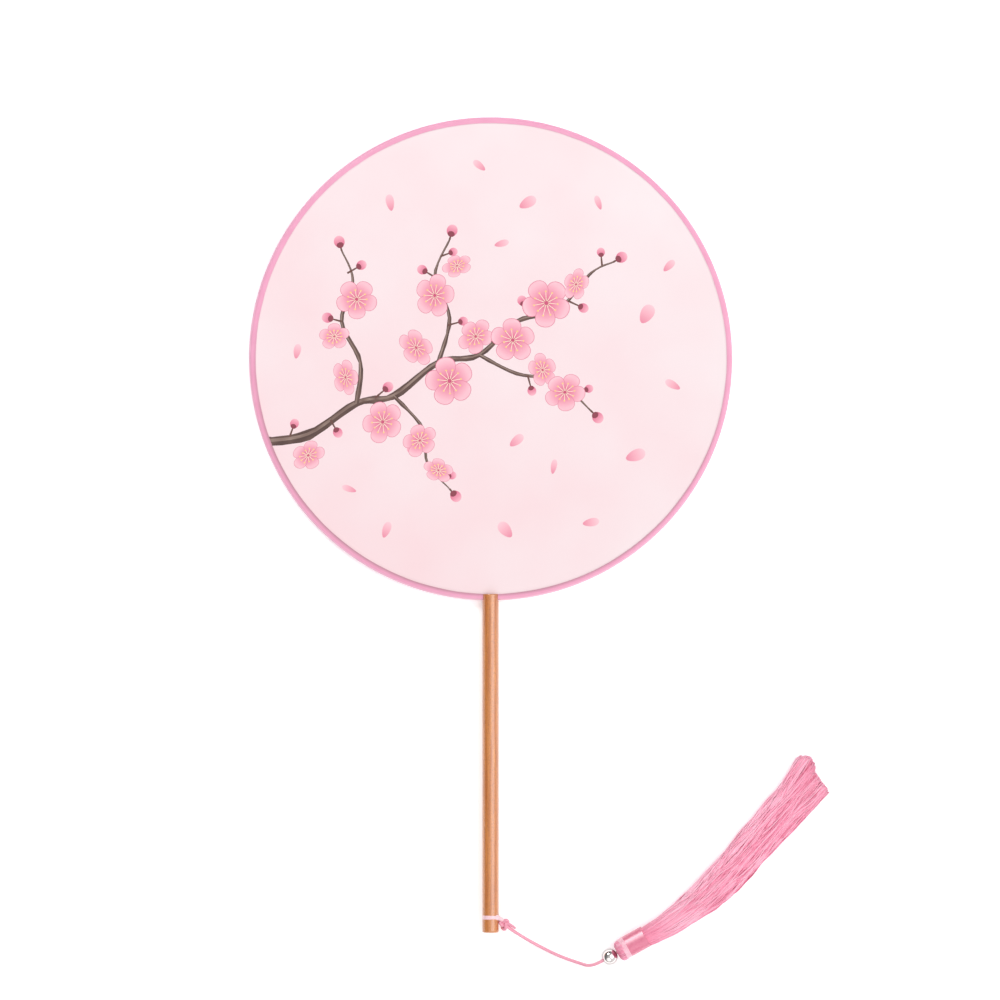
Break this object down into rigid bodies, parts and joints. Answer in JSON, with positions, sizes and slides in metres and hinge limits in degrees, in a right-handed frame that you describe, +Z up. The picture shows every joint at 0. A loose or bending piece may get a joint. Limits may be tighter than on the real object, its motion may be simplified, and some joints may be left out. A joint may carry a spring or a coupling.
{
  "type": "round hand fan",
  "caption": "Round flat hand fan: printed cloth stretched over a wire hoop with a pink ribbon edge, on a slim wooden handle with a beaded tassel on a cord.",
  "frame": {"origin": "on the table under the middle of the fan's length, without the tassel and its cord", "axes": "+Y along the handle towards the hoop, +X to the right as seen from the printed face, +Z up out of the printed face; the fan lies on its back"},
  "size_m": [0.3107, 0.4574, 0.012],
  "materials": {
    "hoop_steel": "drawn wire",
    "printed_silk": "fine woven cloth with a printed blossom pattern",
    "plain_silk": "fine woven cloth, pale pink",
    "satin_ribbon": "pink satin ribbon",
    "handle_wood": "clear varnish, satin",
    "pink_cord": "satin cord",
    "bead_metal": "polished",
    "tassel_thread": "silky thread",
    "binding_thread": "close wound glossy thread"
  },
  "bodies": {
    "fan": {"frame_hoop": "hoop_steel", "front_face": "printed_silk", "back_face": "plain_silk", "edge_tape": "satin_ribbon", "handle": "handle_wood", "cord_loop": "pink_cord", "loop_knot": "pink_cord"},
    "cord": {"tassel_cord": "pink_cord"},
    "tassel": {"hanger_cord": "pink_cord", "tassel_head": "tassel_thread", "neck_binding": "binding_thread", "tassel_strands": "tassel_thread"},
    "bead": {"bead": "bead_metal"}
  },
  "joints": [
    {"name": "cord_swing", "type": "hinge", "parent": "fan", "child": "cord", "pos_m": [0.01041, -0.21702, 0.00619], "axis": [0, 0, 1], "range_deg": [-45, 25]},
    {"name": "tassel_swing", "type": "hinge", "parent": "cord", "child": "tassel", "pos_m": [0.05945, -0.2349, 0.0042], "axis": [0, 0, 1], "range_deg": [-75, 25]},
    {"name": "bead_spin", "type": "hinge", "parent": "tassel", "child": "bead", "pos_m": [0.06417, -0.23228, 0.0042], "axis": [0.8746, 0.4848, 0], "continuous": true}
  ]
}
